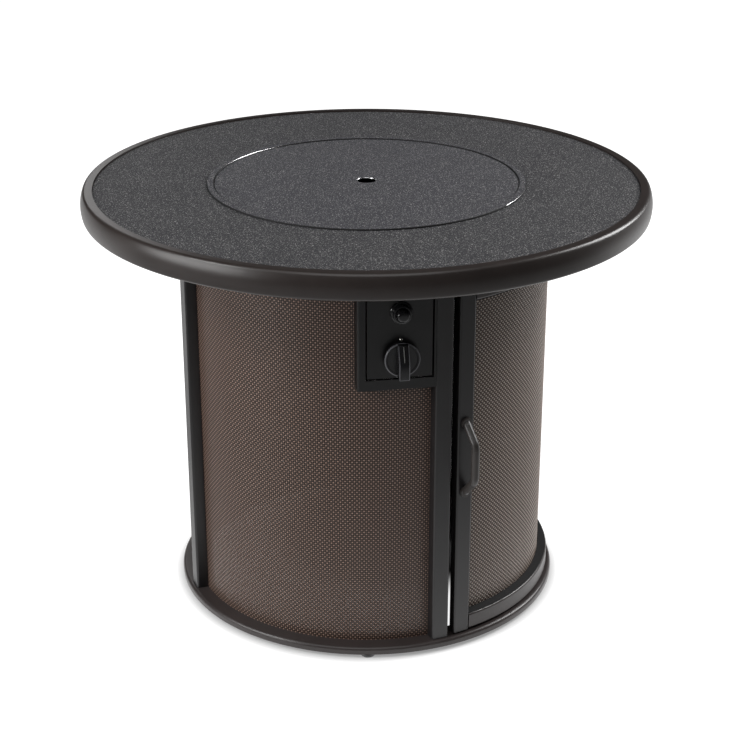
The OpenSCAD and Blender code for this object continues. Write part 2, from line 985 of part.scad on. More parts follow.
module gas_valve() {
    mouth = plate_front - sheet;
    back = plate_front - bonnet_back;
    color("#b08d4a")
        facing(control_angle)
            difference() {
                union() {
                    translate([0, 0, knob_z])
                        peg(bonnet_radius, mouth, back - over);
                    block(-valve_half, valve_half, back, back - valve_depth, knob_z - valve_high,
                        knob_z + valve_high);
                    translate([0, valve_y, knob_z - valve_high - inlet_length])
                        cylinder(h = inlet_length + over, r = inlet_radius);
                    translate([0, valve_y, knob_z + valve_high - over])
                        cylinder(h = outlet_length + over, r = outlet_nut, $fn = 6);
                }
                translate([0, 0, knob_z]) {
                    peg(collar_radius + slide_gap, mouth + over, mouth - collar_room);
                    peg(stem_radius + slide_gap, mouth, back - stem_room);
                }
                translate([0, valve_y, knob_z - valve_high - inlet_length - over])
                    cylinder(h = inlet_length, r = inlet_bore, $fn = 48);
            }
}

module igniter_body() {
    color("#1b1b1c")
        facing(control_angle)
            translate([0, 0, igniter_z])
                difference() {
                    union() {
                        peg(igniter_flange_r, plate_front + igniter_flange, plate_front);
                        peg(igniter_collar_r, plate_front + igniter_collar, plate_front);
                        peg(igniter_barrel_r, plate_front + over, plate_front - igniter_back);
                    }
                    peg(button_radius + slide_gap, plate_front + igniter_collar + over,
                        plate_front - igniter_push - button_room);
                }
}

module igniter_nut() {
    color("#8a8a8c")
        facing(control_angle)
            translate([0, 0, igniter_z])
                difference() {
                    translate([0, -plate_front + sheet, 0])
                        rotate([-90, 0, 0])
                            cylinder(h = igniter_nut_high, r = igniter_nut_r, $fn = 6);
                    peg(igniter_barrel_r, plate_front, plate_front - sheet - igniter_nut_high - over);
                }
}

module igniter_button() {
    face = plate_front + igniter_collar + button_proud;
    color("#161617")
        facing(control_angle)
            translate([0, -face, igniter_z])
                rotate([-90, 0, 0])
                    rotate_extrude() {
                        band(0, button_radius - button_dome, 0, button_dome + over);
                        band(0, button_radius, button_dome, face - plate_front);
                        intersection() {
                            translate([button_radius - button_dome, button_dome])
                                circle(r = button_dome, $fn = 48);
                            band(0, button_radius, 0, button_dome + over);
                        }
                    }
}

top_rim();
top_panel();
support_arm(0);  // support_arm_1
support_arm(1);  // support_arm_2
support_arm(2);  // support_arm_3
support_arm(3);  // support_arm_4
top_bolts();
burner_lid();
burner_pan();
burner_ring();
burner_nipple();
burner_lock_nut();
burner_elbow();
air_mixer();
fire_glass();
spark_electrode();
igniter_lead();
gas_line();
top_hoop();
base_ring();
post(0);  // post_front
post(90);  // post_right
post(180);  // post_rear
post(270);  // post_left
mesh_panel(270);  // mesh_front
mesh_panel(180);  // mesh_left
mesh_panel(90);  // mesh_rear
mesh_strips(270);  // strips_front
mesh_strips(180);  // strips_left
mesh_strips(90);  // strips_rear
foot(0);  // foot_1
foot(1);  // foot_2
foot(2);  // foot_3
foot_screws();
stile(latch_angle);  // door_stile_latch
stile(hinge_angle);  // door_stile_hinge
rail(door_top - rail_height);  // door_rail_top
rail(door_bottom);  // door_rail_bottom
door_mesh();
door_handle();
handle_screws();
door_bush(door_top - bush_height);  // door_bush_upper
door_bush(door_bottom);  // door_bush_lower
hinge_pin_upper();
hinge_pin_lower();
magnet_catch();
strike_plate();
control_box();
control_plate();
plate_straps();
index_pip();
control_knob();
valve_stem();
stem_collar();
gas_valve();
igniter_body();
igniter_nut();
igniter_button();
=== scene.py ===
"""Looks of a round gas fire pit table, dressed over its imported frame.

Sizes in the classes are millimetres and Blender's lengths are metres. Angles are degrees, counted
from the front (-Y) towards the right (+X).
"""

import functools
import logging
import math
import random
from dataclasses import dataclass, field
from enum import Enum

import bmesh
import bpy
from mathutils import Matrix, Vector


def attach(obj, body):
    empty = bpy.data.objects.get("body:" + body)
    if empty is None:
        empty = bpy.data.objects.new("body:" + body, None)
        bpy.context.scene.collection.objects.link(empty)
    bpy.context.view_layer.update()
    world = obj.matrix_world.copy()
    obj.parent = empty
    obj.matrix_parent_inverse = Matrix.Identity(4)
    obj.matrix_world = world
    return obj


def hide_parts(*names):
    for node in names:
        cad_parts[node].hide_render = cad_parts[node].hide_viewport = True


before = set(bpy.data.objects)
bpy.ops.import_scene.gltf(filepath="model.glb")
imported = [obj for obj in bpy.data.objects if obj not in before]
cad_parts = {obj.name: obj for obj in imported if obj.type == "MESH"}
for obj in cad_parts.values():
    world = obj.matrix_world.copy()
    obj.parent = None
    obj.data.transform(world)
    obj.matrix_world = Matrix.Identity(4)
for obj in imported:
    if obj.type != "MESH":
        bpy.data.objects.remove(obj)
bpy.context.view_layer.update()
LOG = logging.getLogger("fire_table")

Colour = tuple[float, float, float, float]
Mesh = bmesh.types.BMesh
Pair = tuple[float, float]
Triple = tuple[float, float, float]
Profile = list[Pair]
Socket = bpy.types.NodeSocket
Tree = bpy.types.NodeTree

EDGE_STEPS = 6
DOME_STEPS = 8


class Body(Enum):
    """The rigid bodies that pieces ride on."""

    TABLE = "table"
    DOOR = "door"
    LID = "lid"
    KNOB = "knob"
    IGNITER = "igniter"


def mm(value: float) -> float:
    """Turn millimetres into Blender's metres."""
    return value / 1000.0


def linear(hex_colour: str) -> Colour:
    """Turn an sRGB hex colour into linear light.

    Args:
        hex_colour: Colour such as "#3a3432".

    Returns:
        Linear red, green and blue, with an alpha of 1.
    """
    parts = [int(hex_colour[i : i + 2], 16) / 255.0 for i in (1, 3, 5)]
    red, green, blue = (
        p / 12.92 if p <= 0.04045 else ((p + 0.055) / 1.055) ** 2.4 for p in parts
    )
    return (red, green, blue, 1.0)


def turn(angle: float) -> Matrix:
    """Turn a shape modelled at the front by an angle about the drum's axis."""
    return Matrix.Rotation(math.radians(angle), 4, "Z")


def show(name: str, data: bpy.types.ID) -> bpy.types.Object:
    """Put an object into the scene.

    Args:
        name: Name of the object.
        data: Its mesh, light or camera.

    Returns:
        The object.
    """
    shown = bpy.data.objects.new(name, data)
    bpy.context.scene.collection.objects.link(shown)
    return shown


def empty_tree(owner: bpy.types.Material | bpy.types.World) -> Tree:
    """Give a material or a world an empty node tree.

    Args:
        owner: Material or world.

    Returns:
        Its node tree.
    """
    owner.use_nodes = True
    owner.node_tree.nodes.clear()
    return owner.node_tree


def add_node(
    tree: Tree,
    kind: str,
    values: dict[str | int, object] | None = None,
    links: dict[str | int, Socket] | None = None,
    **settings: object,
) -> bpy.types.Node:
    """Add one shader node.

    Args:
        tree: Node tree that takes the node.
        kind: Blender's name of the node type.
        values: Input name to plain value.
        links: Input name to the output socket that feeds it.
        **settings: Attributes of the node itself.

    Returns:
        The new node.
    """
    made = tree.nodes.new(kind)
    for key, value in settings.items():
        setattr(made, key, value)
    for key, value in (values or {}).items():
        made.inputs[key].default_value = value
    for key, socket in (links or {}).items():
        tree.links.new(socket, made.inputs[key])
    return made


def noise(
    tree: Tree, coords: Socket, size: float, detail: float, roughness: float = 0.5
) -> Socket:
    """Add a noise pattern.

    Args:
        tree: Node tree to add to.
        coords: Coordinates in metres.
        size: Size of the pattern in millimetres.
        detail: Number of finer layers.
        roughness: Weight of the finer layers.

    Returns:
        The pattern's value.
    """
    values = {"Scale": 1000 / size, "Detail": detail, "Roughness": roughness}
    return add_node(tree, "ShaderNodeTexNoise", values, {"Vector": coords}).outputs["Fac"]


def ranged(
    tree: Tree, value: Socket, reach: Pair = (0.0, 1.0), levels: Pair = (0.0, 1.0),
    blend: str = "LINEAR",
) -> Socket:
    """Map a value from one range to another.

    Args:
        tree: Node tree to add to.
        value: Value to map.
        reach: Ends of the range that is mapped.
        levels: Results at those ends and past them.
        blend: Blender's name of the way between the ends.

    Returns:
        The mapped value.
    """
    (near, far), (start, end) = reach, levels
    ends = {"From Min": near, "From Max": far, "To Min": start, "To Max": end}
    made = add_node(tree, "ShaderNodeMapRange", ends, {"Value": value}, interpolation_type=blend)
    return made.outputs["Result"]


def combine(tree: Tree, operation: str, first: Socket, second: Socket) -> Socket:
    """Combine two values by one of Blender's operations."""
    links = {0: first, 1: second}
    return add_node(tree, "ShaderNodeMath", links=links, operation=operation).outputs["Value"]


@dataclass(frozen=True)
class Finish:
    """A finish with a plain colour, its mottling and a fine surface relief."""

    name: str
    colour: str
    roughness: float = 0.5
    metallic: float = 0.0
    shade: float = 0.12
    shade_mm: float = 40.0
    grain_mm: float = 1.5
    relief_mm: float = 0.0
    rough_swing: float = 0.06
    stretch: Triple = (1.0, 1.0, 1.0)

    def colour_socket(self, tree: Tree, coords: Socket) -> Socket:
        """Mottle the base colour over shade_mm.

        Args:
            tree: Node tree to add to.
            coords: Coordinates in metres.

        Returns:
            The colour output.
        """
        cloud = noise(tree, coords, self.shade_mm, detail=3.0)
        red, green, blue, _ = linear(self.colour)
        ramp = add_node(tree, "ShaderNodeValToRGB", links={"Fac": cloud})
        stops = ((0.3, 1 - self.shade), (0.7, 1 + self.shade))
        for element, (place, level) in zip(ramp.color_ramp.elements, stops):
            element.position = place
            element.color = (red * level, green * level, blue * level, 1)
        return ramp.outputs["Color"]

    def relief(self, tree: Tree, height: Socket) -> Socket:
        """Turn a pattern into a relief of relief_mm."""
        values = {"Strength": 1.0, "Distance": mm(self.relief_mm)}
        return add_node(tree, "ShaderNodeBump", values, {"Height": height}).outputs["Normal"]

    def surface(self, tree: Tree, coords: Socket) -> bpy.types.Node:
        """Shade the surface.

        Args:
            tree: Node tree to add to.
            coords: Coordinates in metres.

        Returns:
            A shader with mottled colour, uneven gloss and a fine relief.
        """
        spread = add_node(tree, "ShaderNodeMapping", {"Scale": self.stretch}, {"Vector": coords})
        grain = noise(tree, spread.outputs["Vector"], self.grain_mm, detail=2.0)
        low, high = self.roughness - self.rough_swing, self.roughness + self.rough_swing
        gloss = ranged(tree, grain, levels=(low, high))
        links = {"Base Color": self.colour_socket(tree, coords), "Roughness": gloss}
        if self.relief_mm:
            links["Normal"] = self.relief(tree, grain)
        return add_node(tree, "ShaderNodeBsdfPrincipled", {"Metallic": self.metallic}, links)

    def build(self) -> bpy.types.Material:
        """Build the material.

        Returns:
            The material, with its patterns in Object coordinates.
        """
        material = bpy.data.materials.new(self.name)
        tree = empty_tree(material)
        coords = add_node(tree, "ShaderNodeTexCoord").outputs["Object"]
        surface = self.surface(tree, coords)
        add_node(tree, "ShaderNodeOutputMaterial", links={"Surface": surface.outputs["BSDF"]})
        return material


@dataclass(frozen=True)
class GritCoat(Finish):
    """Textured powder coat with pale grit: a coarse matte skin with light specks.

    The real grit is under a millimetre. It is drawn at fleck_mm, as coarse as it needs to show.
    The pattern is tilted, so that no flat face lies along a plane of its lattice.
    """

    roughness: float = 0.62
    shade: float = 0.08
    shade_mm: float = 60.0
    grain_mm: float = 2.6
    relief_mm: float = 0.25
    fleck: str = "#c6c4c2"
    fleck_mm: float = 1.7
    fleck_share: float = 0.66
    fleck_edge: float = 0.1
    tilt: Triple = (0.6, 0.35, 0.0)

    def surface(self, tree: Tree, coords: Socket) -> bpy.types.Node:
        """Shade the surface.

        Args:
            tree: Node tree to add to.
            coords: Coordinates in metres.

        Returns:
            A matte shader with specks, mottling and a pebbled relief.
        """
        tilted = add_node(
            tree, "ShaderNodeMapping", {"Rotation": self.tilt}, {"Vector": coords}
        ).outputs["Vector"]
        grit = noise(tree, tilted, self.fleck_mm, detail=1.5, roughness=0.7)
        reach = self.fleck_share - self.fleck_edge, self.fleck_share + self.fleck_edge
        share = ranged(tree, grit, reach)
        mixed = add_node(
            tree, "ShaderNodeMixRGB", {"Color2": linear(self.fleck)},
            {"Fac": share, "Color1": self.colour_socket(tree, coords)},
        )
        dull, shiny = self.roughness + self.rough_swing, self.roughness - self.rough_swing
        gloss = ranged(tree, share, levels=(dull, shiny))
        pebble = noise(tree, tilted, self.grain_mm, detail=3.0, roughness=0.65)
        return add_node(
            tree, "ShaderNodeBsdfPrincipled",
            links={"Base Color": mixed.outputs["Color"], "Roughness": gloss,
                   "Normal": self.relief(tree, pebble)},
        )


@dataclass(frozen=True)
class TumbledGlass(Finish):
    """Tempered glass broken and tumbled: dark, glossy chunks that let some light through."""

    clear: float = 0.35
    bending: float = 1.5

    def surface(self, tree: Tree, coords: Socket) -> bpy.types.Node:
        """Shade the surface.

        Args:
            tree: Node tree to add to.
            coords: Coordinates in metres.

        Returns:
            A glossy shader with partly transmitted light.
        """
        return add_node(
            tree, "ShaderNodeBsdfPrincipled",
            {"Roughness": self.roughness, "Transmission Weight": self.clear, "IOR": self.bending},
            {"Base Color": self.colour_socket(tree, coords)},
        )


@dataclass(frozen=True)
class WovenWire(Finish):
    """Coated wire: painted highlight on the crowns of the weave, painted shade in its valleys."""

    shade: float = 0.15
    # Painted highlight: crown is its colour, laid on between the heights in reach above radius.
    crown: str = "#c09e8d"
    radius: float = 253.1
    reach: Pair = (0.36, 0.82)

    def colour_socket(self, tree: Tree, coords: Socket) -> Socket:
        """Paint the crowns' highlight: lighten the mottled colour towards the outside of the weave.

        Args:
            tree: Node tree to add to.
            coords: Coordinates in metres.

        Returns:
            The colour output.
        """
        level = add_node(
            tree, "ShaderNodeVectorMath", {1: (1, 1, 0)}, {0: coords}, operation="MULTIPLY"
        )
        distance = add_node(
            tree, "ShaderNodeVectorMath", links={0: level.outputs["Vector"]}, operation="LENGTH"
        )
        low, high = (mm(self.radius + height) for height in self.reach)
        share = ranged(tree, distance.outputs["Value"], (low, high))
        mixed = add_node(
            tree, "ShaderNodeMixRGB", {"Color2": linear(self.crown)},
            {"Fac": share, "Color1": super().colour_socket(tree, coords)},
        )
        return mixed.outputs["Color"]


FINISHES: dict[str, Finish] = {
    # Polyester powder coat, sprayed and baked: satin, with a faint orange peel.
    "rim": Finish("bronze_powder_coat_rim", "#2d2725", 0.33, relief_mm=0.02, grain_mm=2.4),
    # Darker frame copy of the coat: painted shade; lighter ring copy, also on the door's rails:
    # painted light.
    "frame": Finish("bronze_powder_coat_painted_shade", "#1f1d1e", 0.36, relief_mm=0.02, grain_mm=2.4),
    "ring": Finish("bronze_powder_coat_painted_light", "#3a3433", 0.34, relief_mm=0.02, grain_mm=2.4),
    "handle": Finish("bronze_powder_coat_handle", "#3a3634", 0.36, relief_mm=0.01, grain_mm=2.4),
    "panel": Finish("bronze_powder_coat_panel", "#100f10", 0.36, relief_mm=0.02, grain_mm=2.0),
    # Grit-filled powder coat: matte charcoal with pale specks and a pebbled skin.
    "grit": GritCoat("charcoal_grit_coat", "#27272b"),
    "lid_grit": GritCoat("charcoal_grit_coat_lid", "#313137"),
    # Steel rubbed bare round the finger hole; on the flange, short arcs of it as painted
    # highlights.
    "edge": Finish("rubbed_steel_edge_and_painted_highlight", "#c4c4c6", 0.24, 1.0, shade=0.05, rough_swing=0.04),
    # Nearly black coat on narrow walls, edges and strips: painted shade.
    "shade": Finish("painted_shade_black_coat", "#0e0e10", 0.7, shade=0.05),
    # Brown-coated woven wire: painted highlight on crowns, strongest on the level wires and the
    # door.
    "weft": WovenWire("brown_coated_weft_wire", "#251912", 0.42),
    "warp": WovenWire("brown_coated_warp_wire", "#251912", crown="#5e4b41"),
    "door_weft": WovenWire("brown_coated_weft_wire_door", "#251912", 0.42, crown="#ccbcb0",
                           radius=254.3, reach=(0.2, 0.7)),
    "door_warp": WovenWire("brown_coated_warp_wire_door", "#251912", crown="#5e4b41",
                           radius=254.3, reach=(0.2, 0.7)),
    # Drawn stainless tube: fine lines along the tube.
    "stainless": Finish("drawn_stainless_steel", "#a9a8a6", 0.3, 1.0, grain_mm=1.2,
                        relief_mm=0.004, stretch=(1.0, 1.0, 8.0)),
    # Zinc plated steel: pale grey, slightly cloudy.
    "zinc": Finish("zinc_plated_steel", "#9b9c9e", 0.34, 1.0, shade=0.2, shade_mm=6.0),
    # Turned brass: warm metal with fine tool marks.
    "brass": Finish("turned_brass", "#b8934e", 0.28, 1.0, shade_mm=12.0, grain_mm=0.8,
                    relief_mm=0.003),
    # Tempered glass, broken and tumbled: blue grey and glossy.
    "glass": TumbledGlass("tumbled_tempered_glass", "#38464a", 0.08, shade=0.35, shade_mm=16.0),
    # Fired alumina: off-white and matte.
    "ceramic": Finish("fired_alumina_ceramic", "#d8d2c4", 0.6, shade=0.05, relief_mm=0.01),
    # Extruded silicone: soft and dull.
    "rubber": Finish("silicone_sleeve", "#232326", 0.55, relief_mm=0.01),
    # Moulded phenolic: deep black with a polished skin.
    "knob": Finish("moulded_black_phenolic", "#1c1c1e", 0.24, shade=0.05, rough_swing=0.03),
    "gloss": Finish("polished_black_phenolic", "#18181a", 0.14, shade=0.05, rough_swing=0.03),
    # Injection moulded plastics: dull black feet and off-white bushes.
    "plastic": Finish("moulded_black_abs", "#202022", 0.5, relief_mm=0.015, grain_mm=0.9),
    "nylon": Finish("moulded_natural_nylon", "#cfcabd", 0.45, shade=0.04),
    # Paler, shinier phenolic on the knob's crests: painted highlight lines.
    "crest": Finish("phenolic_painted_highlight", "#6e6e72", 0.2, shade=0.05, rough_swing=0.03),
    # Pad printed ink: pale grey and dull.
    "pointer": Finish("grey_print", "#9a9a98", 0.5, shade=0.03),
    # Nickel plated stud: a bright point of light on its dome.
    "stud": Finish("nickel_plated_stud", "#d8d6d0", 0.16, 1.0, shade=0.03, rough_swing=0.02),
}


@functools.cache
def coating(finish: str) -> bpy.types.Material:
    """Return the material of a finish, built on first use."""
    return FINISHES[finish].build()


def dress(finish: str, *nodes: str) -> None:
    """Give CAD nodes a finish.

    Args:
        finish: Name in FINISHES.
        *nodes: Names of CAD nodes.
    """
    for name in nodes:
        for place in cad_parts[name].material_slots:
            place.material = coating(finish)


def add_piece(
    bm: Mesh,
    name: str,
    finish: str,
    body: Body,
    nodes: tuple[str, ...] = (),
    sharp: float = 40.0,
) -> None:
    """Turn a finished bmesh into a piece that rides on a body.

    Args:
        bm: Mesh with its place in its vertices. It is freed.
        name: Name of the piece.
        finish: Name in FINISHES.
        body: Body that the piece rides on.
        nodes: CAD nodes that the piece stands for.
        sharp: Angle in degrees past which an edge is drawn sharp.
    """
    bmesh.ops.recalc_face_normals(bm, faces=bm.faces)
    mesh = bpy.data.meshes.new(name)
    bm.to_mesh(mesh)
    bm.free()
    mesh.polygons.foreach_set("use_smooth", [True] * len(mesh.polygons))
    mesh.set_sharp_from_angle(angle=math.radians(sharp))
    mesh.materials.append(coating(finish))
    piece = show(name, mesh)
    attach(piece, body.value)
    if nodes:
        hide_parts(*nodes)
    LOG.info("piece %s: %d faces", name, len(mesh.polygons))


def lathe(profile: Profile, steps: int = 64, bm: Mesh | None = None) -> Mesh:
    """Spin a profile about Z.

    Args:
        profile: Radius and height of each point, in millimetres.
        steps: Number of steps round.
        bm: Mesh to add to, or None for a new one.

    Returns:
        The mesh.
    """
    bm = bmesh.new() if bm is None else bm
    points = [bm.verts.new((mm(r), 0.0, mm(z))) for r, z in profile]
    edges = [bm.edges.new(pair) for pair in zip(points, points[1:])]
    bmesh.ops.spin(
        bm, geom=points + edges, cent=(0, 0, 0), axis=(0, 0, 1), angle=math.tau,
        steps=steps, use_merge=True,
    )
    bmesh.ops.remove_doubles(bm, verts=bm.verts, dist=1e-6)
    return bm


def put(bm: Mesh, place: Matrix) -> Mesh:
    """Move a whole mesh to its place and return it."""
    bmesh.ops.transform(bm, matrix=place, verts=bm.verts)
    return bm


def join(target: Mesh, source: Mesh) -> None:
    """Add a bmesh to another and free it.

    Args:
        target: Mesh that grows.
        source: Mesh that is added.
    """
    carrier = bpy.data.meshes.new("carrier")
    source.to_mesh(carrier)
    source.free()
    target.from_mesh(carrier)
    bpy.data.meshes.remove(carrier)


def sweep(bm: Mesh, profile: Profile, start: float, end: float, steps: int) -> None:
    """Carry a closed profile part of the way round Z.

    Args:
        bm: Mesh to add to.
        profile: Radius and height of each corner, in millimetres.
        start: First direction round the table in degrees.
        end: Last direction in degrees.
        steps: Number of steps along the way.
    """
    first = [bm.verts.new(turn(start) @ Vector((0, -mm(r), mm(z)))) for r, z in profile]
    bmesh.ops.spin(
        bm, geom=[bm.faces.new(first)], cent=(0, 0, 0), axis=(0, 0, 1),
        angle=math.radians(end - start), steps=steps,
    )
    bmesh.ops.holes_fill(bm, edges=[e for e in bm.edges if e.is_boundary])


def arc(
    centre: Pair, radius: float, start: float, end: float, steps: int = EDGE_STEPS
) -> Profile:
    """Trace a round stretch of a profile.

    Args:
        centre: Radius and height of the arc's centre in millimetres.
        radius: Radius of the arc in millimetres.
        start: First angle in degrees, counted from outward towards up.
        end: Last angle in degrees.
        steps: Number of steps along the arc.

    Returns:
        The arc's points.
    """
    angles = [math.radians(start + (end - start) * i / steps) for i in range(steps + 1)]
    return [(centre[0] + radius * math.cos(a), centre[1] + radius * math.sin(a)) for a in angles]


def outward(angle: float, depth: float, height: float) -> Matrix:
    """Place a shape modelled along +Z so that it points out of the drum.

    Args:
        angle: Direction round the drum in degrees.
        depth: Distance from the drum's axis in millimetres.
        height: Height above the floor in millimetres.

    Returns:
        The placing matrix.
    """
    return (
        turn(angle)
        @ Matrix.Translation((0, -mm(depth), mm(height)))
        @ Matrix.Rotation(math.radians(90), 4, "X")
    )


@dataclass
class WovenPanel:
    """A curved panel of plain-woven wire: upright warp and level weft.

    Past the notch's direction and above its height there are no wires. The coat comes before "warp"
    and "weft" in the names of the finishes.
    """

    name: str
    body: Body
    node: str
    radius: float
    start: float
    end: float
    low: float
    high: float
    notch: Pair | None = None
    coat: str = ""
    pitch: float = 3.15
    wire_width: float = 2.9
    wire_depth: float = 0.9
    wave: float = 0.42

    def counts(self) -> tuple[int, int]:
        """Return the number of cells across and up the panel."""
        across = mm(self.radius) * math.radians(self.end - self.start)
        return round(across / mm(self.pitch)), round((self.high - self.low) / self.pitch)

    def section(self, bm: Mesh, upright: bool) -> list[bmesh.types.BMVert]:
        """Make the four-sided section of a wire at the panel's first corner.

        Args:
            bm: Mesh to add to.
            upright: True for a warp wire, which runs up.

        Returns:
            The section's vertices.
        """
        ring = bmesh.ops.create_circle(bm, radius=1.0, segments=4)["verts"]
        half = Matrix.Diagonal((mm(self.wire_width) / 2, mm(self.wire_depth) / 2, 1, 1))
        stand = Matrix.Identity(4) if upright else Matrix.Rotation(math.radians(90), 4, "Y")
        lift = Matrix.Translation((0, -mm(self.radius), mm(self.low)))
        bmesh.ops.transform(bm, matrix=turn(self.start) @ lift @ stand @ half, verts=ring)
        return ring

    def run_wire(
        self, bm: Mesh, upright: bool, first: int, cells: int, step: float
    ) -> None:
        """Extrude one wire that waves in and out at each crossing.

        Args:
            bm: Mesh to add to.
            upright: True for a warp wire.
            first: 0 or 1, the side on which the wire starts.
            cells: Number of cells along the wire.
            step: Angle of one cell in degrees.
        """
        ring = self.section(bm, upright)
        edges = list({e for v in ring for e in v.link_edges})
        side = 1 if (first == 0) == upright else -1
        heading = turn(self.start) @ Vector((0, -1, 0))
        bmesh.ops.translate(bm, verts=ring, vec=heading * mm(self.wave) * side)
        for cell in range(cells):
            grown = bmesh.ops.extrude_edge_only(bm, edges=edges)["geom"]
            ring = [g for g in grown if isinstance(g, bmesh.types.BMVert)]
            edges = [g for g in grown if isinstance(g, bmesh.types.BMEdge)]
            if upright:
                bmesh.ops.translate(bm, verts=ring, vec=(0, 0, mm(self.pitch)))
            else:
                bmesh.ops.rotate(
                    bm, verts=ring, cent=(0, 0, 0), matrix=turn(step).to_3x3()
                )
                heading = turn(self.start + step * (cell + 1)) @ Vector((0, -1, 0))
            side = -side
            bmesh.ops.translate(bm, verts=ring, vec=heading * 2 * mm(self.wave) * side)

    def cut_notch(self, bm: Mesh) -> None:
        """Clear the wires where the control box passes through the panel.

        Args:
            bm: Mesh of the wires.
        """
        if self.notch is None:
            return
        angle, height = self.notch
        middles = [(face, face.calc_center_median()) for face in bm.faces]
        inside = [
            face for face, middle in middles
            if middle.z > mm(height) and math.degrees(math.atan2(middle.x, -middle.y)) > angle
        ]
        bmesh.ops.delete(bm, geom=inside, context="FACES")

    def weave(self, upright: bool) -> Mesh:
        """Weave the wires that run one way.

        Args:
            upright: True for the warp, which runs up.

        Returns:
            A mesh of all these wires.
        """
        across, up = self.counts()
        step = (self.end - self.start) / across
        cells, rows = (up, across) if upright else (across, up)
        bm = bmesh.new()
        for first in (0, 1):
            wire = bmesh.new()
            self.run_wire(wire, upright, first, cells, step)
            seed = wire.verts[:] + wire.edges[:] + wire.faces[:]
            copies = (rows - first) // 2
            if upright:
                bmesh.ops.rotate(
                    wire, verts=wire.verts, cent=(0, 0, 0), matrix=turn(step * first).to_3x3()
                )
                bmesh.ops.spin(
                    wire, geom=seed, cent=(0, 0, 0), axis=(0, 0, 1),
                    angle=math.radians(2 * step * copies), steps=copies, use_duplicate=True,
                )
            else:
                bmesh.ops.translate(wire, verts=wire.verts, vec=(0, 0, mm(self.pitch * first)))
                for row in range(1, copies + 1):
                    copy = bmesh.ops.duplicate(wire, geom=seed)["geom"]
                    moved = [g for g in copy if isinstance(g, bmesh.types.BMVert)]
                    bmesh.ops.translate(wire, verts=moved, vec=(0, 0, mm(2 * self.pitch * row)))
            join(bm, wire)
        self.cut_notch(bm)
        return bm

    def build(self) -> None:
        """Weave the panel in place of its CAD sheet."""
        for name, upright, nodes in (("warp", True, (self.node,)), ("weft", False, ())):
            add_piece(
                self.weave(upright), f"{self.name}_{name}", self.coat + name, self.body,
                nodes, sharp=80,
            )


@dataclass
class TableTop:
    """The rim, the gritty panel and what holds them."""

    radius: float = 393.0
    land: float = 17.0
    top: float = 600.0
    bottom: float = 565.0
    edges: Pair = (6.0, 5.0)
    lean: Pair = (22.0, 15.0)
    sheet: float = 2.0
    wall: float = 8.0
    lip: float = 593.5
    ledge: float = 9.0
    face_steps: int = 10
    arms: tuple[str, ...] = tuple(f"support_arm_{i}" for i in range(1, 5))

    def face(self) -> Profile:
        """Trace the rim's outside: a barrelled face between two rounded edges.

        Returns:
            The points from the lower edge to the upper edge.
        """
        (upper, lower), (lean, under) = self.edges, self.lean
        sines = math.sin(math.radians(lean)), math.sin(math.radians(under))
        rounds = upper * (1 - sines[0]) + lower * (1 - sines[1])
        curve = (self.top - self.bottom - rounds) / sum(sines)
        centre = self.radius - curve, self.bottom + lower * (1 - sines[1]) + curve * sines[1]
        low = centre[0] + (curve - lower) * math.cos(math.radians(under))
        high = centre[0] + (curve - upper) * math.cos(math.radians(lean))
        profile = arc((low, self.bottom + lower), lower, -90, -under)
        profile += arc(centre, curve, -under, lean, self.face_steps)[1:]
        return profile + arc((high, self.top - upper), upper, lean, 90)[1:]

    def rim(self) -> None:
        """Roll the rim as one smooth band with a barrelled face."""
        inner, wall = self.radius - self.land, self.radius - self.wall
        profile = self.face() + [
            (inner, self.top), (inner, self.lip + self.sheet),
            (inner - self.ledge, self.lip + self.sheet), (inner - self.ledge, self.lip),
            (wall, self.lip), (wall, self.bottom + self.sheet), (inner, self.bottom + self.sheet),
            (inner, self.bottom),
        ]
        bm = lathe(profile + profile[:1], 288)
        add_piece(bm, "rolled_rim", "rim", Body.TABLE, ("top_rim",))

    def build(self) -> None:
        """Roll the rim and dress the rest of the top."""
        self.rim()
        dress("grit", "top_panel")
        dress("frame", *self.arms, "top_hoop")
        dress("zinc", "top_bolts")


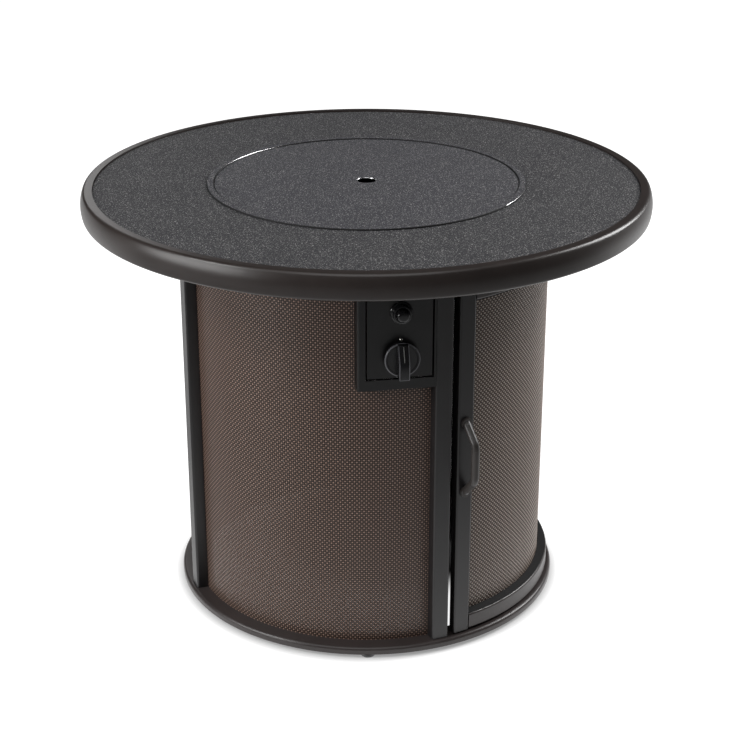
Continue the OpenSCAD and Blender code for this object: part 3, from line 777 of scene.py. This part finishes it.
@dataclass
class Burner:
    """The lid, the pan and the burner with its feed.

    The glass lies in rows. Margins and spacing are counted in chunks: margins from a bed's inner
    and outer edge, spacing along a row and between rows. Jitter is along the row as a share of a
    place, then outwards and upwards in millimetres.
    """

    inner_bed: Triple = (19.0, 98.0, 543.0)
    outer_bed: Triple = (122.0, 200.0, 556.0)
    floor: float = 530.0
    bed_drop: float = 6.0
    chunk: float = 9.0
    chunk_sizes: Pair = (0.55, 0.85)
    chunk_lumps: Pair = (0.75, 1.15)
    chunk_flat: tuple[float, float, float, float] = (1.0, 0.8, 0.6, 1.0)
    chunk_sink: float = 4.0
    margins: Pair = (0.7, 0.5)
    spacing: Pair = (1.25, 1.1)
    jitter: Triple = (0.3, 1.5, 2.0)
    seed: int = 7
    step: float = 211.0
    flange: float = 220.5
    panel: float = 597.5
    seat: float = 0.3
    bead: float = 2.2
    bead_edge: float = 0.9
    # Painted highlights: short arcs of bare steel on the flange's inner and outer edges, with their
    # lift, turn and spans; the lift also serves the finger hole's edge.
    bare_steel_lift: float = 0.1
    highlight_turn: float = 10.0
    highlight_inside: Pair = (194.0, 244.0)
    highlight_outside: Pair = (35.0, 63.0)
    lid: Triple = (210.3, 590.0, 598.3)
    lid_edge: float = 1.5
    sheet: float = 1.5
    finger_hole: float = 13.0

    def bed(
        self, bm: Mesh, dice: random.Random, low: float, high: float, top: float
    ) -> None:
        """Fill one ring of the pan with glass.

        Args:
            bm: Mesh to add to.
            dice: Source of the chunks' sizes and turns.
            low: Inner radius.
            high: Outer radius.
            top: Height of the bed's surface.
        """
        first, last = self.margins
        along, across = self.spacing
        slide, stray, bob = self.jitter
        flat = Matrix.Diagonal(self.chunk_flat)
        radius = low + self.chunk * first
        while radius < high - self.chunk * last:
            count = max(1, int(math.tau * radius / (self.chunk * along)))
            for step in range(count):
                angle = 360.0 * (step + dice.uniform(-slide, slide)) / count
                size = self.chunk * dice.uniform(*self.chunk_sizes)
                lump = bmesh.ops.create_icosphere(bm, subdivisions=1, radius=mm(size))["verts"]
                for vert in lump:
                    vert.co *= dice.uniform(*self.chunk_lumps)
                roll = dice.uniform(0, math.tau)
                axis = Vector([dice.uniform(-1, 1) for _ in range(3)]).normalized()
                out = radius + dice.uniform(-stray, stray)
                up = top - self.chunk_sink + dice.uniform(-bob, bob)
                place = turn(angle) @ Matrix.Translation((0, -mm(out), mm(up)))
                tumble = Matrix.Rotation(roll, 4, axis)
                bmesh.ops.transform(bm, matrix=place @ tumble @ flat, verts=lump)
            radius += self.chunk * across

    def fire_glass(self) -> None:
        """Lay the glass chunks on their beds."""
        dice = random.Random(self.seed)
        bm = bmesh.new()
        for low, high, top in (self.inner_bed, self.outer_bed):
            level = top - self.bed_drop
            lathe([(low, self.floor), (high, self.floor), (high, level), (low, level),
                   (low, self.floor)], bm=bm)
        for low, high, top in (self.inner_bed, self.outer_bed):
            self.bed(bm, dice, low, high, top)
        add_piece(
            bm, "fire_glass_chunks", "glass", Body.TABLE, ("fire_glass",), sharp=20
        )

    def flange_bead(self) -> None:
        """Raise the pan's flange round the lid: a gritty top, edges and wall in painted shade, and
        painted highlight arcs.
        """
        low, high, edge = self.panel - self.seat, self.panel + self.bead, self.bead_edge
        inner, outer = self.step - self.seat + edge, self.flange - edge
        step = arc((inner, high - edge), edge, 180, 90)
        brow = arc((outer, high - edge), edge, 90, 0)
        # The step, brow and skirt take the nearly black coat as painted shade.
        for name, coat, profile in (
            ("top", "lid_grit", [(inner, low), (inner, high), (outer, high), (outer, low)]),
            ("step", "shade", [(inner, low), (inner - edge, low), *step]),
            ("brow", "shade", [(outer, high - edge), *brow]),
            ("skirt", "shade", [(outer, low), (outer, high - edge), brow[-1], (self.flange, low)]),
        ):
            bm = lathe(profile + profile[:1], 200)
            add_piece(bm, f"flange_bead_{name}", coat, Body.TABLE)
        # Painted highlights: short arcs of bare steel on the flange's edges.
        highlight_arcs = bmesh.new()
        for radius, start, span, steps in (
            (inner, 180 - self.highlight_turn, self.highlight_inside, 48),
            (outer, 90 + self.highlight_turn, self.highlight_outside, 36),
        ):
            centre = (radius, high - edge)
            line = arc(centre, edge + self.bare_steel_lift, start, start - 90) + [centre]
            sweep(highlight_arcs, line, *span, steps)
        add_piece(highlight_arcs, "flange_painted_highlights", "edge", Body.TABLE)

    def press_lid(self) -> None:
        """Press the lid from sheet: turned down at its edge, with a rounded finger hole."""
        outer, low, top = self.lid
        edge, hole, under = self.lid_edge, self.finger_hole, top - self.sheet
        profile = arc((outer - edge, top - edge), edge, 0, 90)
        profile += [(hole + edge, top), (hole + edge, under), (outer - self.sheet, under),
                    (outer - self.sheet, low), (outer, low), (outer, top - edge)]
        bm = lathe(profile, 240)
        add_piece(bm, "pressed_lid", "lid_grit", Body.LID, ("burner_lid",))
        profile = arc((hole + edge, top - edge + self.bare_steel_lift), edge, 90, 180, DOME_STEPS)
        rim = lathe(profile + [(hole, under), (hole + edge, under), profile[0]], 72)
        add_piece(rim, "finger_hole_edge", "edge", Body.LID)

    def build(self) -> None:
        """Dress the burner and lay its glass."""
        dress("grit", "burner_pan")
        dress("stainless", "burner_ring", "air_mixer", "gas_line")
        dress("brass", "burner_nipple", "burner_lock_nut", "burner_elbow", "gas_valve")
        dress("ceramic", "spark_electrode")
        dress("rubber", "igniter_lead")
        self.fire_glass()
        self.flange_bead()
        self.press_lid()


@dataclass
class Drum:
    """The posts, the rings, the woven panels and the feet."""

    mesh_radius: float = 253.1
    low: float = 16.5
    high: float = 535.5
    post_turn: float = 2.8
    ring: tuple[float, float, float, float] = (244.5, 276.0, 4.8, 16.0)
    ring_edge: float = 5.0
    ring_break: float = 1.2
    foot_count: int = 3
    foot_radius: float = 265.0
    foot_turn: float = -21.7
    foot: tuple[Pair, ...] = ((0, 0), (8.9, 0), (9.6, 0.7), (11.0, 4.9), (0, 4.9))
    posts: tuple[str, ...] = ("post_front", "post_right", "post_rear", "post_left")
    notch: Pair = (-25.4, 396.5)

    def base(self) -> None:
        """Roll the base ring, round at its upper edge."""
        inner, outer, low, high = self.ring
        edge, cut = self.ring_edge, self.ring_break
        profile = arc((outer - edge, high - edge), edge, 90, 0, DOME_STEPS)
        profile += [(outer, low + cut), (outer - cut, low), (inner, low), (inner, high)]
        bm = lathe(profile + profile[:1], 240)
        add_piece(bm, "rolled_base", "ring", Body.TABLE, ("base_ring",))

    def feet(self) -> None:
        """Mould the tapered feet."""
        spot = Matrix.Translation((0, -mm(self.foot_radius), 0))
        for count in range(self.foot_count):
            place = turn(self.foot_turn + 360 / self.foot_count * count) @ spot
            bm = put(lathe(list(self.foot), 48), place)
            add_piece(bm, f"moulded_foot_{count + 1}", "plastic", Body.TABLE,
                      (f"foot_{count + 1}",))

    def build(self) -> None:
        """Dress the frame, mould the feet and weave the three fixed panels."""
        self.base()
        self.feet()
        dress("frame", *self.posts, "strips_front", "strips_left", "strips_rear")
        dress("plastic", "magnet_catch")
        dress("zinc", "foot_screws", "hinge_pin_upper", "hinge_pin_lower")
        for name, start, notch in (
            ("mesh_rear", 90.0, None),
            ("mesh_left", 180.0, None),
            ("mesh_front", -90.0, self.notch),
        ):
            WovenPanel(
                f"woven_{name}", Body.TABLE, name, self.mesh_radius, start + self.post_turn,
                start + 90 - self.post_turn, self.low, self.high, notch,
            ).build()


@dataclass
class Door:
    """The curved door with its woven panel and bow handle."""

    latch_angle: float = 7.181
    stile_turn: float = 2.8
    # Painted shade strips on the rails: inner and outer radius and thickness.
    bed: Triple = (255.2, 267.3, 0.8)
    rails: Pair = (42.05, 505.65)
    mesh_turn: float = 1.0
    mesh_radius: float = 254.3
    low: float = 35.0
    high: float = 513.5

    def painted_shade_strips(self) -> None:
        """Lay painted shade: nearly black strips on the bottom rail's top and under the top rail,
        along the mesh.
        """
        inner, outer, thick = self.bed
        start = self.latch_angle + self.stile_turn
        bm = bmesh.new()
        for low in self.rails:
            corners = ((inner, low), (outer, low), (outer, low + thick), (inner, low + thick))
            sweep(bm, corners, start, 90 - start, steps=36)
        add_piece(bm, "door_painted_shade_strips", "shade", Body.DOOR)

    def build(self) -> None:
        """Dress the door frame and weave its panel."""
        self.painted_shade_strips()
        dress("frame", "door_stile_latch", "door_stile_hinge")
        # The rails take the lighter ring copy of the coat: painted light.
        dress("ring", "door_rail_top", "door_rail_bottom")
        dress("handle", "door_handle")
        dress("zinc", "handle_screws", "strike_plate")
        dress("nylon", "door_bush_upper", "door_bush_lower")
        WovenPanel(
            "woven_door_mesh", Body.DOOR, "door_mesh", self.mesh_radius,
            self.latch_angle + self.mesh_turn, 90 - self.latch_angle - self.mesh_turn,
            self.low, self.high, coat="door_",
        ).build()


@dataclass
class Controls:
    """The control box with its knob and igniter."""

    angle: float = -12.4
    plate: float = 264.3
    knob_lift: float = 3.7
    knob_height: float = 441.0
    knob_radius: float = 23.0
    skirt: float = 7.0
    skirt_break: float = 0.5
    skirt_crown: tuple[Pair, ...] = ((0, 2.2), (0.5, 0.8), (1.6, 0), (3.0, 0), (3.6, 0.7))
    bar: Triple = (14.0, 44.8, 23.0)
    bar_root: float = 2.0
    nose: float = 10.0
    edge: float = 1.3
    edge_from: float = 0.6
    pointer: Triple = (0.9, 20.0, 0.4)
    pointer_edge: float = 0.12
    # Painted highlight lines on the knob's crests: their radius, sink, skirt ring and span.
    crest: float = 0.7
    crest_sink: float = 0.7
    crest_ring: Triple = (0.9, 1.0, 0.3)
    crest_span: Pair = (-20, 110)
    stud: Pair = (2.2, 1.4)
    stud_gap: float = 1.2
    igniter_height: float = 502.0
    bezel: tuple[Pair, ...] = (
        (8.7, -7.9), (8.7, 9.6), (9.6, 10.0), (10.8, 10.0), (11.8, 9.5), (12.4, 8.4), (12.5, 3.6),
        (13.2, 3.1), (14.2, 2.8), (14.9, 1.9), (15.0, 0.0), (9.0, 0.0), (9.0, -40.0), (0.0, -40.0),
        (0.0, -7.9), (8.7, -7.9),
    )
    button: Triple = (8.4, 14.0, 4.0)
    button_back: float = 3.6
    button_crown: float = 0.4

    def knob_bar(self) -> Mesh:
        """Shape the grip bar, whose upper half slopes down to its nose.

        Returns:
            A mesh with the skirt's base at zero, up along Y and out along Z.
        """
        width, length, front = self.bar
        low = self.skirt - self.bar_root
        bm = bmesh.new()
        bmesh.ops.create_cube(bm, size=1.0)
        place = Matrix.Translation((0, 0, mm(low + front) / 2))
        size = Matrix.Diagonal((mm(width), mm(length), mm(front - low), 1.0))
        put(bm, place @ size)
        bmesh.ops.bisect_plane(
            bm, geom=bm.verts[:] + bm.edges[:] + bm.faces[:], plane_co=(0, 0, 0),
            plane_no=(0, 1, 0),
        )
        tip = [v for v in bm.verts if v.co.y > mm(1) and v.co.z > mm(self.skirt)]
        bmesh.ops.translate(bm, verts=tip, vec=(0, 0, -mm(self.nose)))
        bmesh.ops.bevel(
            bm, geom=[e for e in bm.edges if e.calc_face_angle(0) > self.edge_from],
            offset=mm(self.edge), affect="EDGES", segments=3, profile=0.5, material=-1,
        )
        return bm

    def knob(self) -> None:
        """Mould the knob: a round skirt, a grip bar and a printed pointer."""
        place = outward(self.angle, self.plate + self.knob_lift, self.knob_height)
        rim, cut = self.knob_radius, self.skirt_break
        crown = [(rim - inset, self.skirt - drop) for inset, drop in self.skirt_crown]
        bm = lathe([(0, 0), (rim - cut, 0), (rim, cut), *crown, (0, crown[-1][1])], 96)
        join(bm, self.knob_bar())
        put(bm, place)
        add_piece(bm, "knob_grip", "knob", Body.KNOB, ("control_knob",), sharp=30)
        self.knob_highlights(place)
        self.knob_pointer(place)

    def knob_pointer(self, place: Matrix) -> None:
        """Print the pointer, a thin raised line in the middle of the bar's slope.

        Args:
            place: Place of the knob's base.
        """
        half = self.bar[1] / 2
        spot = Matrix.Translation((0, mm(half / 2), mm(self.bar[2] - self.nose / 2)))
        slope = Matrix.Rotation(-math.atan2(self.nose, half), 4, "X")
        size = Matrix.Diagonal((*(mm(v) for v in self.pointer), 1.0))
        bm = bmesh.new()
        bmesh.ops.create_cube(bm, size=1.0)
        put(bm, place @ spot @ slope @ size)
        bmesh.ops.bevel(
            bm, geom=bm.edges[:], offset=mm(self.pointer_edge), affect="EDGES", segments=1,
            profile=0.5, material=-1,
        )
        add_piece(bm, "knob_pointer", "pointer", Body.KNOB)

    def knob_highlights(self, place: Matrix) -> None:
        """Lay painted highlight lines on the knob's crests: the skirt's edge and the edges of the
        bar's front.

        Args:
            place: Place of the knob's base.
        """
        width, length, front = self.bar
        side, half = width / 2 - self.crest, length / 2 - self.crest
        level = front - self.crest_sink * self.crest
        nose = level - self.nose
        inset, round_off, thick = self.crest_ring
        centre = (self.knob_radius - inset, self.skirt - inset)
        bm = lathe(arc(centre, round_off, *self.crest_span), 96)
        bmesh.ops.solidify(bm, geom=bm.faces[:], thickness=mm(thick))
        ends = ((half, nose), (-half, level))
        rails = [((x, 0, level), (x, y, z)) for y, z in ends for x in (-side, side)]
        for start, end in (*rails, ((-side, -half, level), (side, -half, level))):
            run = Vector(end) - Vector(start)
            rail = bmesh.ops.create_cone(
                bm, cap_ends=True, segments=8, radius1=mm(self.crest), radius2=mm(self.crest),
                depth=mm(run.length))["verts"]
            spot = Matrix.Translation((Vector(start) + Vector(end)) * 0.5 * mm(1))
            lean = run.to_track_quat("Z", "Y").to_matrix().to_4x4()
            bmesh.ops.transform(bm, matrix=spot @ lean, verts=rail)
        put(bm, place)
        add_piece(bm, "knob_painted_highlights", "crest", Body.KNOB)

    def index_stud(self) -> None:
        """Press the small domed stud that the knob's pointer meets when it is off."""
        radius, rise = self.stud
        curve = (radius**2 + rise**2) / (2 * rise)
        reach = math.degrees(math.asin(radius / curve))
        dome = arc((0, rise - curve), curve, 90 - reach, 90, DOME_STEPS)
        height = self.knob_height + self.knob_radius + self.stud_gap
        place = outward(self.angle, self.plate, height)
        bm = put(lathe(dome + [(0, 0), (radius, 0)], 32), place)
        add_piece(bm, "index_stud", "stud", Body.TABLE, ("index_pip",))

    def igniter(self) -> None:
        """Turn the igniter's round bezel, with its barrel behind the plate, and its button."""
        place = outward(self.angle, self.plate, self.igniter_height)
        bezel = put(lathe(list(self.bezel), 72), place)
        add_piece(bezel, "igniter_bezel", "gloss", Body.TABLE, ("igniter_body",),
                  sharp=30)
        radius, front, dome = self.button
        cap = arc((radius - dome, front), dome, 0, 80, DOME_STEPS)
        button = lathe([(0, -self.button_back), (radius, -self.button_back), *cap,
                        (0, front + dome + self.button_crown)])
        add_piece(put(button, place), "igniter_push_button", "gloss", Body.IGNITER,
                  ("igniter_button",))

    def build(self) -> None:
        """Dress the control panel and mould its knob and igniter."""
        dress("panel", "control_box", "control_plate")
        dress("zinc", "plate_straps", "igniter_nut")
        dress("stainless", "valve_stem", "stem_collar")
        self.knob()
        self.index_stud()
        self.igniter()


@dataclass
class Lamp:
    """A soft box, placed right of, behind and above the table's axis as the camera sees it."""

    name: str
    spot: Triple
    aim: Triple
    size: Pair
    power: float


@dataclass
class Studio:
    """The floor, the soft boxes and the camera, in metres.

    Each reach is the pair of distances between which the floor's own light changes.
    """

    azimuth: float = -22.13
    distance: float = 2.3326
    height: float = 1.2988
    pitch: float = 22.946
    lens: float = 84.91
    sensor: float = 36.0
    offset: float = 0.0048
    ambient: float = 0.05
    floor_half: float = 12.0
    floor_coat: float = 0.45
    floor_glow: float = 0.97
    open_reach: Pair = (0.6, 1.6)
    mirror_glow: float = 0.62
    mirror_reach: Pair = (0.0, 0.6)
    near_glow: float = 0.95
    near_reach: Pair = (0.3, 0.9)
    shade_spot: Triple = (0.05, 0.1, 0.0)
    shade_reach: Pair = (0.15, 0.225)
    contact: Triple = (0.27, 0.026, 0.3)
    lamps: list[Lamp] = field(default_factory=lambda: [
        Lamp("overhead_box", (0.0, -1.2, 2.6), (0.0, 0.0, 0.4), (2.0, 2.0), 22.0),
        Lamp("left_box", (-2.05, -1.0, 0.95), (0.0, 0.0, 0.5), (1.6, 0.8), 25.0),
        Lamp("left_high_box", (-1.9, -0.9, 2.0), (0.0, 0.0, 0.6), (0.9, 0.7), 24.0),
        Lamp("right_box", (2.0, 0.9, 1.7), (0.0, 0.0, 0.35), (1.0, 1.4), 56.0),
        Lamp("back_box", (-1.0, 2.2, 1.4), (0.0, 0.0, 0.6), (0.8, 0.6), 3.0),
    ])

    def seen(self, right: float, away: float, up: float) -> Vector:
        """Turn a place as the camera sees it into the scene's frame."""
        return turn(self.azimuth) @ Vector((right, away, up))

    def whiteness(self, tree: Tree) -> Socket:
        """Work out how white the floor shows.

        The camera sees the open floor white, the floor deep inside the drum in shade and a contact
        shadow under the ring. Reflections see it pale by the drum and white behind the table: a
        studio is dark round its camera.

        Args:
            tree: Node tree of the floor.

        Returns:
            The strength of the floor's own light.
        """
        path = add_node(tree, "ShaderNodeLightPath").outputs
        coords = add_node(tree, "ShaderNodeTexCoord").outputs["Object"]
        places = {
            "LENGTH": Vector(), "DISTANCE": self.seen(*self.shade_spot),
            "DOT_PRODUCT": self.seen(0, 1, 0),
        }
        radius, depth, behind = (
            add_node(
                tree, "ShaderNodeVectorMath", {1: place}, {0: coords}, operation=operation
            ).outputs["Value"]
            for operation, place in places.items()
        )
        ring, width, least = self.contact
        shown = ranged(tree, radius, self.open_reach, (self.floor_glow, 1.0))
        lit = ranged(tree, depth, self.shade_reach, blend="SMOOTHSTEP")
        offset = add_node(tree, "ShaderNodeMath", {1: ring}, {0: radius}, operation="SUBTRACT")
        clear = add_node(
            tree, "ShaderNodeMath", links={0: offset.outputs["Value"]}, operation="ABSOLUTE"
        )
        contact = ranged(
            tree, clear.outputs["Value"], (0.0, width), (least, 1.0), "SMOOTHSTEP"
        )
        for factor in (lit, contact, path["Is Camera Ray"]):
            shown = combine(tree, "MULTIPLY", shown, factor)
        mirrored = ranged(tree, behind, self.mirror_reach, (0.0, self.mirror_glow))
        near = ranged(tree, radius, self.near_reach, (self.near_glow, 0.0))
        pale = combine(tree, "MAXIMUM", mirrored, near)
        outside = add_node(
            tree, "ShaderNodeMath", {1: ring}, {0: radius}, operation="GREATER_THAN"
        )
        for factor in (outside.outputs["Value"], path["Is Glossy Ray"]):
            pale = combine(tree, "MULTIPLY", pale, factor)
        return combine(tree, "MAXIMUM", shown, pale)

    def floor(self) -> None:
        """Lay a pale floor that shows white and keeps the table's shadow."""
        bm = bmesh.new()
        bmesh.ops.create_grid(bm, x_segments=1, y_segments=1, size=self.floor_half)
        mesh = bpy.data.meshes.new("floor")
        bm.to_mesh(mesh)
        bm.free()
        material = bpy.data.materials.new("white_floor")
        tree = empty_tree(material)
        coat = (self.floor_coat,) * 3
        paint = add_node(tree, "ShaderNodeBsdfDiffuse", {"Color": (*coat, 1)})
        glow = add_node(
            tree, "ShaderNodeEmission", {"Color": (1, 1, 1, 1)},
            {"Strength": self.whiteness(tree)},
        )
        both = add_node(
            tree, "ShaderNodeAddShader",
            links={0: paint.outputs["BSDF"], 1: glow.outputs["Emission"]},
        )
        add_node(tree, "ShaderNodeOutputMaterial", links={"Surface": both.outputs["Shader"]})
        mesh.materials.append(material)
        floor = show("floor", mesh)

    def world(self) -> None:
        """Light the room evenly and show it white to the camera."""
        world = bpy.data.worlds.new("studio")
        bpy.context.scene.world = world
        tree = empty_tree(world)
        path = add_node(tree, "ShaderNodeLightPath")
        seen = ranged(tree, path.outputs["Is Camera Ray"], levels=(self.ambient, 1.0))
        shell = add_node(
            tree, "ShaderNodeBackground", {"Color": (1, 1, 1, 1)}, {"Strength": seen}
        )
        add_node(tree, "ShaderNodeOutputWorld", links={"Surface": shell.outputs["Background"]})

    def lights(self) -> None:
        """Hang the soft boxes."""
        for lamp in self.lamps:
            light = bpy.data.lights.new(lamp.name, "AREA")
            light.shape = "RECTANGLE"
            light.size, light.size_y = lamp.size
            light.energy = lamp.power
            holder = show(lamp.name, light)
            spot, aim = self.seen(*lamp.spot), self.seen(*lamp.aim)
            holder.location = spot
            holder.rotation_euler = (aim - spot).to_track_quat("-Z", "Y").to_euler()

    def camera(self) -> None:
        """Set the camera at the photograph's angle."""
        data = bpy.data.cameras.new("camera")
        data.lens = self.lens
        data.sensor_width = self.sensor
        holder = show("camera", data)
        holder.location = self.seen(self.offset, -self.distance, self.height)
        holder.rotation_euler = (math.radians(90 - self.pitch), 0, math.radians(self.azimuth))
        bpy.context.scene.camera = holder

    def build(self) -> None:
        """Set the whole studio."""
        bpy.context.scene.view_settings.view_transform = "Standard"
        self.floor()
        self.world()
        self.lights()
        self.camera()


def main() -> None:
    """Build the studio and dress each sub-assembly in order."""
    logging.basicConfig(level=logging.INFO, format="%(message)s")
    Studio().build()
    for part in (TableTop(), Burner(), Drum(), Door(), Controls()):
        part.build()
        LOG.info("dressed %s", type(part).__name__)


if __name__ == "__main__":
    main()
